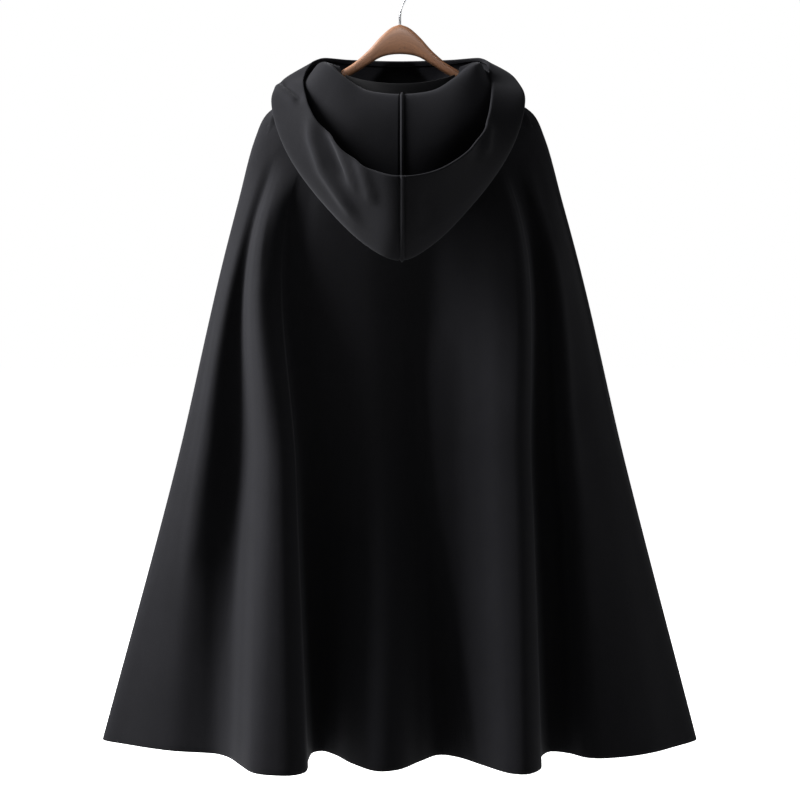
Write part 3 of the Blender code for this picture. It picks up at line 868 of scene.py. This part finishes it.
    def shoulder(self, ring: Ring, share: np.ndarray, front: np.ndarray) -> np.ndarray:
        """Points of one shoulder ring, at shares of its half width."""
        round_off = np.clip(1 - share**2, 0, 1)
        out = np.where(front, ring.front_out, -ring.back_out) * np.sqrt(round_off)
        middle_z = np.where(front, ring.front_z, ring.back_z)
        z = ring.side_z + (middle_z - ring.side_z) * round_off ** (self.neck_curve / 2)
        return np.stack([ring.side_x * share, out, z], axis=1)

    def surface(self) -> tuple[np.ndarray, int]:
        """Builds the middle surface of the whole body.

        Returns:
            The surface, rows by columns, and how many of its columns are the back's.
        """
        back, front_lines = np.array(self.back_folds), np.array(self.front_folds)
        pairs = [(back[:, k : k + 2] * (1, -1), front_lines[:, k : k + 2]) for k in (0, 2, 4)]
        top, mid, hem = (np.concatenate(pair) for pair in pairs)
        chords = np.linalg.norm(np.roll(hem, -1, axis=0) - hem, axis=1)
        knots = np.concatenate([[0.0], np.cumsum(np.sqrt(chords))])
        columns = []
        for i, chord in enumerate(chords):
            count = max(2, round(chord / self.step))
            columns.extend(knots[i] + (knots[i + 1] - knots[i]) * np.arange(count) / count)
        columns = np.array(columns)
        top_line, mid_line, hem_line = (self.closed_line(r, knots, columns) for r in (top, mid, hem))
        last_back = knots[len(back) - 1]
        front = columns > last_back
        half = np.where(top_line[:, 0] < 0, -self.back_folds[0].top_x, self.back_folds[-1].top_x)
        share = np.clip(top_line[:, 0] / half, -1, 1)
        levels = [self.shoulder(ring, share, front) for ring in self.shoulder_rings]
        top_z = self.top_side_z + (self.top_middle_z - self.top_side_z) * (1 - share**2)
        levels.append(np.column_stack([top_line, top_z]))
        levels.append(np.column_stack([mid_line, np.full(len(columns), self.mid_z)]))
        levels.append(np.column_stack([hem_line, np.full(len(columns), self.hem_z)]))
        levels = np.array(levels)
        lengths = np.linalg.norm(np.diff(levels, axis=0), axis=2).mean(axis=1)
        places = np.concatenate([[0.0], np.cumsum(lengths)])
        foot, fold = places[-1], places[-1] - self.hem_turning.width
        rows = [foot, fold, fold - self.hem_edge]
        for i, count in enumerate(self.rows_between):
            rows.extend(places[i] + lengths[i] * np.arange(count) / count)
        grid = smooth_curve(levels, places, np.unique(rows))
        back_columns = int(np.searchsorted(columns, last_back - 1e-9)) + 1
        return self.on_hanger(grid), back_columns

    def neck_seam(self, turn: np.ndarray) -> np.ndarray:
        """Points of the neck seam at turns in degrees, positive to the left, from the front to the nape."""
        angle = np.radians(turn)
        forward, ring = np.cos(angle), self.shoulder_rings[0]
        out = np.where(forward > 0, ring.front_out, ring.back_out) * forward
        middle_z = np.where(forward > 0, ring.front_z, ring.back_z)
        z = ring.side_z + (middle_z - ring.side_z) * np.abs(forward) ** self.neck_curve
        return self.on_hanger(np.stack([-self.neck_half_width * np.sin(angle), out, z], axis=1))

    def build(self, wool: Material, thread: Material) -> list[Object]:
        """Builds both panels with their turned hems and hem stitches.

        Args:
            wool: The cloth.
            thread: The hem's thread.

        Returns:
            The panels and their stitches.
        """
        grid, back_columns = self.surface()
        normals = ring_normals(grid)
        lift = np.zeros(grid.shape[:2])
        for part, creases in (
            (slice(0, back_columns), self.back_creases),
            (slice(back_columns, None), self.front_creases),
        ):
            for crease in creases:
                lift[:, part] += crease.lift(grid[:, part])
        grid = grid + normals * lift[..., None]
        normals = ring_normals(grid)
        grid = np.concatenate([grid, grid[:, :1]], axis=1)
        normals = np.concatenate([normals, normals[:, :1]], axis=1)
        stitches_tree = path_tree(PathTool.STITCHES, thread)
        sizes = {"Radius": self.thread_radius, "Length": self.stitch_length, "Pitch": self.stitch_pitch}
        pieces = []
        for side, part in (("back", slice(0, back_columns)), ("front", slice(back_columns - 1, None))):
            middle = grid[:, part]
            panel = cloth_wall(f"{side}_of_poncho", middle, normals[:, part], CLOTH, wool, self.hem_turning)
            down = down_lengths(middle)
            row = int(np.argmax(down > down[-1] - self.hem_turning.width))
            inside = middle[row] - normals[row, part] * (CLOTH / 2 + self.hem_turning.extra)
            stitches = along_path(f"{side}_hem_stitches", inside[1:-1], stitches_tree, sizes)
            for piece in (panel, stitches):
                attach(piece, ROOT)
            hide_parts(f"{side}_panel")
            LOG.info("%s panel: %.3f square metres", side, cloth_area(middle))
            pieces += [panel, stitches]
        return pieces


# Hood


class Section(NamedTuple):
    """One section of the hood's left half: its turn from the front, and points from the neck to the rim."""

    turn: float
    roll: Triple
    inner: Triple
    fold: Triple
    outer: Triple
    rim: Triple


class RightShift(NamedTuple):
    """How the right half differs at a turn: its rim further out and lower, and its fold further out."""

    turn: float
    rim_x: float
    rim_drop: float
    fold_x: float


@dataclass
class Hood:
    """The hood, which lies down the back as a deep rolled pocket, and the tape inside its nape seam."""

    body: PonchoBody
    sections: tuple[Section, ...] = (
        Section(0, (0, 0.066, -0.180), (0, 0.067, -0.165), (0, 0.066, -0.150),
                (0, 0.064, -0.136), (0, 0.060, -0.121)),
        Section(35, (-0.056, 0.056, -0.169), (-0.062, 0.060, -0.155), (-0.067, 0.061, -0.143),
                (-0.071, 0.060, -0.131), (-0.073, 0.057, -0.1195)),
        Section(62, (-0.094, 0.036, -0.139), (-0.101, 0.040, -0.134), (-0.113, 0.040, -0.131),
                (-0.120, 0.040, -0.126), (-0.118, 0.038, -0.120)),
        Section(78, (-0.109, 0.018, -0.130), (-0.122, 0.018, -0.137), (-0.138, 0.016, -0.150),
                (-0.152, 0.014, -0.143), (-0.131, 0.013, -0.131)),
        Section(92, (-0.114, -0.002, -0.131), (-0.132, -0.004, -0.151), (-0.153, -0.006, -0.172),
                (-0.172, -0.008, -0.160), (-0.139, -0.010, -0.150)),
        Section(110, (-0.104, -0.028, -0.139), (-0.128, -0.040, -0.168), (-0.160, -0.044, -0.200),
                (-0.182, -0.045, -0.191), (-0.139, -0.046, -0.172)),
        Section(130, (-0.085, -0.050, -0.160), (-0.110, -0.070, -0.208), (-0.144, -0.079, -0.271),
                (-0.161, -0.087, -0.255), (-0.124, -0.100, -0.217)),
        Section(150, (-0.055, -0.066, -0.184), (-0.076, -0.092, -0.245), (-0.098, -0.099, -0.339),
                (-0.1105, -0.121, -0.323), (-0.0863, -0.149, -0.266)),
        Section(166, (-0.026, -0.071, -0.191), (-0.037, -0.100, -0.262), (-0.045, -0.121, -0.391),
                (-0.0505, -0.152, -0.379), (-0.041, -0.185, -0.303)),
        Section(180, (0, -0.073, -0.193), (0, -0.102, -0.268), (0, -0.133, -0.412),
                (0, -0.175, -0.400), (0, -0.200, -0.314)),
    )
    right_shifts: tuple[RightShift, ...] = (
        RightShift(0, 0, 0, 0),
        RightShift(35, 0, 0, 0),
        RightShift(62, 0.004, 0, 0.005),
        RightShift(78, -0.001, 0, 0.005),
        RightShift(92, -0.006, 0.001, -0.002),
        RightShift(110, -0.006, 0.001, -0.005),
        RightShift(130, -0.0005, 0.009, -0.004),
        RightShift(150, 0.012, 0.006, -0.003),
        RightShift(166, 0.009, 0.002, -0.002),
        RightShift(180, 0, 0, 0),
    )
    lift: float = 0.0042
    half_columns: int = 110
    column_turns: tuple[tuple[int, float], ...] = ((0, 0), (86, 172), (95, 177), (110, 180))
    rows: int = 120
    rim_turning: Turning = Turning(0.018, 0.0024)
    creases: tuple[Crease, ...] = (
        Crease(((-0.1737, -0.158), (-0.1622, -0.169), (-0.1345, -0.196)), 0.0055, -0.005),
        Crease(((-0.18, -0.163), (-0.1684, -0.174), (-0.142, -0.2)), 0.005, 0.005),
        Crease(
            ((-0.127, -0.208), (-0.12, -0.255), (-0.104, -0.3), (-0.072, -0.346), (-0.054, -0.378)),
            0.0075, 0.0075,
        ),
        Crease(((-0.117, -0.214), (-0.105, -0.246), (-0.089, -0.284), (-0.071, -0.324)), 0.006, -0.0062),
        Crease(((-0.106, -0.222), (-0.081, -0.27), (-0.056, -0.34)), 0.007, 0.005),
        Crease(((-0.056, -0.28), (-0.0464, -0.312), (-0.035, -0.352)), 0.007, 0.0045),
        Crease(((0.126, -0.228), (0.1215, -0.25), (0.118, -0.278)), 0.006, 0.0035),
        Crease(((0.112, -0.24), (0.109, -0.26), (0.103, -0.292)), 0.007, -0.0025),
        Crease(((0.03, -0.33), (0.038, -0.355), (0.034, -0.385)), 0.009, -0.0022),
    )
    outer_from: float = 2.9
    outer_fade: float = 0.25
    fold_level: float = 2.5
    seam_profile: tuple[tuple[float, float], ...] = ((0.0, -0.0016), (0.0028, 0.0026), (0.0056, -0.00096))
    seam_half_width: float = 0.0016
    tape_turns: tuple[float, float] = (114.0, 246.0)
    tape_middle_height: float = 0.0220
    tape_end_height: float = 0.009
    tape_foot: float = 0.002
    tape_thickness: float = 0.0012
    tape_columns: int = 96
    tape_stitch_in: float = 0.0018
    tape_rows: int = 9
    stitch_length: float = 0.0026
    stitch_pitch: float = 0.0032
    welt_radius: float = 0.0021
    welt_points: int = 240
    thread_radius: float = 0.00035

    def surface(self) -> np.ndarray:
        """Middle surface of the whole hood, rows by columns, from the front round the left side and back."""
        half_turns = np.interp(np.arange(self.half_columns + 1), *zip(*self.column_turns))
        turns = [s.turn for s in self.sections]
        lines = []
        for k in range(1, len(Section._fields)):
            given = np.array([s[k] for s in self.sections])
            mirrored = given * (-1, 1, 1)
            whole = np.concatenate([mirrored[1:2], given, mirrored[-2:-1]])
            lines.append(smooth_curve(whole, [-turns[1], *turns, 360 - turns[-2]], half_turns))
        left = np.array([self.body.neck_seam(half_turns) + (0, 0, self.lift)] + lines)
        right = left[:, -2:0:-1].copy()
        right[..., 0] *= -1
        table = np.array(self.right_shifts)
        shifts = smooth_curve(table[:, 1:], table[:, 0], half_turns[-2:0:-1])
        right[-1, :, 0] += shifts[:, 0]
        right[-1, :, 2] -= shifts[:, 1]
        right[-3:-1, :, 0] += shifts[:, 2]
        right[-4, :, 0] += np.minimum(shifts[:, 0], 0)
        levels = np.concatenate([left, right], axis=1)
        return smooth_curve(levels, np.linspace(0, 1, len(levels)), np.linspace(0, 1, self.rows + 1))

    def creased(self, grid: np.ndarray) -> np.ndarray:
        """Adds the creases and the centre seam's ridge.

        Args:
            grid: The smooth middle surface.

        Returns:
            The creased one.
        """
        normals = -ring_normals(grid)
        level = np.linspace(0, 5, grid.shape[0])[:, None]
        on_outer = np.clip((level - self.outer_from) / self.outer_fade, 0, 1)
        lift = sum(crease.lift(grid) for crease in self.creases) * on_outer
        behind = grid[..., 1] < 0
        facing = np.where(level < self.fold_level, -1.0, 1.0)
        for place, height in self.seam_profile:
            bump = np.exp(-(((grid[..., 0] - place) / self.seam_half_width) ** 2))
            lift += np.where(behind, bump * height * facing, 0)
        return grid + normals * lift[..., None]

    def tape(self, twill: Material, thread: Material) -> list[Object]:
        """Builds the nape tape and its row of stitches.

        Args:
            twill: The tape.
            thread: Its thread.

        Returns:
            The tape and the stitches.
        """
        seam = self.body.neck_seam(np.linspace(*self.tape_turns, self.tape_columns + 1))
        outward = seam * (1, 1, 0)
        outward /= np.linalg.norm(outward, axis=1, keepdims=True)
        line = seam - outward * (CLOTH / 2 + SEAM_GAP + self.tape_thickness / 2)
        across = np.linspace(-1, 1, self.tape_columns + 1)
        height = self.tape_end_height + (self.tape_middle_height - self.tape_end_height) * (1 - across**2)
        shares = np.linspace(1, 0, self.tape_rows)
        rows = [line + np.outer(height * s - self.tape_foot * (1 - s), (0, 0, 1)) for s in shares]
        middle = np.array(rows)
        tape = cloth_wall("nape_tape", middle, np.array([outward] * len(rows)), self.tape_thickness, twill)
        edge = middle[0] - outward * self.tape_thickness / 2 - np.array((0, 0, self.tape_stitch_in))
        stitches = along_path(
            "nape_tape_stitches",
            edge[2:-2],
            path_tree(PathTool.STITCHES, thread),
            {"Radius": self.thread_radius, "Length": self.stitch_length, "Pitch": self.stitch_pitch},
        )
        LOG.info("tape: %.4f square metres", cloth_area(middle))
        return [tape, stitches]

    def build(self, wool: Material, twill: Material, thread: Material) -> list[Object]:
        """Builds both halves, the neck welt and the tape.

        Args:
            wool: The cloth.
            twill: The tape.
            thread: The thread.

        Returns:
            All pieces.
        """
        grid = self.creased(self.surface())
        normals = -ring_normals(grid)
        grid = np.concatenate([grid, grid[:, :1]], axis=1)
        normals = np.concatenate([normals, normals[:, :1]], axis=1)
        pieces = []
        for side, first, end in (("left", 0, self.half_columns + 1), ("right", self.half_columns, None)):
            middle, outward = grid[:, first:end][:, ::-1], normals[:, first:end][:, ::-1]
            half = cloth_wall(f"{side}_of_hood", middle, outward, CLOTH, wool, self.rim_turning)
            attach(half, ROOT)
            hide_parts(f"hood_{side}")
            LOG.info("%s half of the hood: %.3f square metres", side, cloth_area(middle))
            pieces.append(half)
        around = np.linspace(0, 360, self.welt_points, endpoint=False)
        seam = self.body.neck_seam(around) + (0, 0, self.lift / 2)
        welt = along_path(
            "neck_welt", seam, path_tree(PathTool.ROUND, wool), {"Radius": self.welt_radius}, closed=True
        )
        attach(welt, ROOT)
        tape, seams = self.tape(twill, thread)
        for piece in (tape, seams):
            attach(piece, ROOT)
        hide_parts("neck_tape")
        return pieces + [welt, tape, seams]


# Studio


@dataclass(frozen=True)
class SoftBox:
    """One soft light: its place, what it is aimed at, its size and power, and the angle of its grid."""

    name: str
    place: Triple
    aim: Triple
    size: tuple[float, float]
    power: float
    spread: float = math.pi

    def build(self) -> None:
        """Builds the light."""
        data = bpy.data.lights.new(self.name, "AREA")
        data.shape = "RECTANGLE"
        data.size, data.size_y = self.size
        data.energy = self.power
        data.spread = self.spread
        light = bpy.data.objects.new(self.name, data)
        light.location = self.place
        light.rotation_mode = "QUATERNION"
        light.rotation_quaternion = (Vector(self.aim) - Vector(self.place)).to_track_quat("-Z", "Y")
        bpy.context.scene.collection.objects.link(light)


@dataclass
class Studio:
    """The pale floor, the soft light and the camera at the picture's angle."""

    camera_place: Triple = (0.0, -2.6, -0.525)
    focal_px: float = 1793.0
    horizon_px: float = 335.0
    floor_z: float = -1.32
    floor_half: float = 40.0
    ambient: float = 0.003
    mirrored: float = 0.04
    lights: tuple[SoftBox, ...] = (
        SoftBox("key_from_left", (-2.4, 0.00, 1.20), (0.0, -0.05, -0.60), (1.0, 1.2), 265.0),
        SoftBox("fill_from_right", (2.5, -0.40, 0.60), (0.0, 0.0, -0.6), (0.8, 1.8), 11.0),
        SoftBox("light_from_above", (-1.3, -0.50, 1.55), (0.0, -0.1, -0.2), (0.8, 0.8), 4.0),
        SoftBox("spot_on_hanger", (0.0, -0.9, 0.5), (0.0, 0.0, -0.1), (0.12, 0.12), 0.06, math.radians(14)),
    )

    def camera(self) -> None:
        """Builds the camera."""
        data = bpy.data.cameras.new("camera")
        data.sensor_width = 36.0
        data.lens = data.sensor_width * self.focal_px / PICTURE_SIDE_PX
        data.shift_y = (self.horizon_px - PICTURE_SIDE_PX / 2) / PICTURE_SIDE_PX
        camera = bpy.data.objects.new("camera", data)
        camera.location = self.camera_place
        camera.rotation_euler = (math.pi / 2, 0, 0)
        bpy.context.scene.collection.objects.link(camera)
        bpy.context.scene.camera = camera

    def surroundings(self) -> None:
        """Builds the white surroundings, which light the cloth only dimly."""
        world = bpy.data.worlds.new("white studio")
        world.use_nodes = True
        tree = world.node_tree
        tree.nodes.clear()
        path = add_node(tree, "ShaderNodeLightPath").outputs
        soft = {0: path["Is Glossy Ray"], 2: self.ambient, 3: self.mirrored}
        gloss = add_node(tree, "ShaderNodeMix", soft).outputs[0]
        strength = add_node(tree, "ShaderNodeMix", {0: path["Is Camera Ray"], 2: gloss, 3: 1.0}).outputs[0]
        shade = add_node(tree, "ShaderNodeBackground", {"Strength": strength, "Color": (1, 1, 1, 1)})
        add_node(tree, "ShaderNodeOutputWorld", {"Surface": shade.outputs[0]})
        bpy.context.scene.world = world

    def build(self) -> None:
        """Builds all of it."""
        half, z = self.floor_half, self.floor_z
        corners = np.array([(-half, -half, z), (half, -half, z), (half, half, z), (-half, half, z)])
        floor = mesh_object("floor", corners, [(0, 1, 2, 3)], StudioPaper().build())
        floor.visible_diffuse = False
        for light in self.lights:
            light.build()
        self.surroundings()
        self.camera()
        bpy.context.scene.view_settings.view_transform = "Standard"


def main() -> None:
    """Builds the classes in order and reports each piece."""
    logging.basicConfig(level=logging.INFO, format="%(name)s: %(message)s")
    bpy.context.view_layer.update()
    wool, thread = FeltedWool().build(), SewingThread().build()
    hanger = WoodenHanger()
    body = PonchoBody(hanger)
    pieces = hanger.build(StainedBeech().build(), ChromedSteel().build())
    pieces += body.build(wool, thread)
    pieces += Hood(body).build(wool, TwillTape().build(), thread)
    for piece in pieces:
        LOG.info("%s: %d faces", piece.name, len(piece.data.polygons))
    Studio().build()


if __name__ == "__main__":
    main()
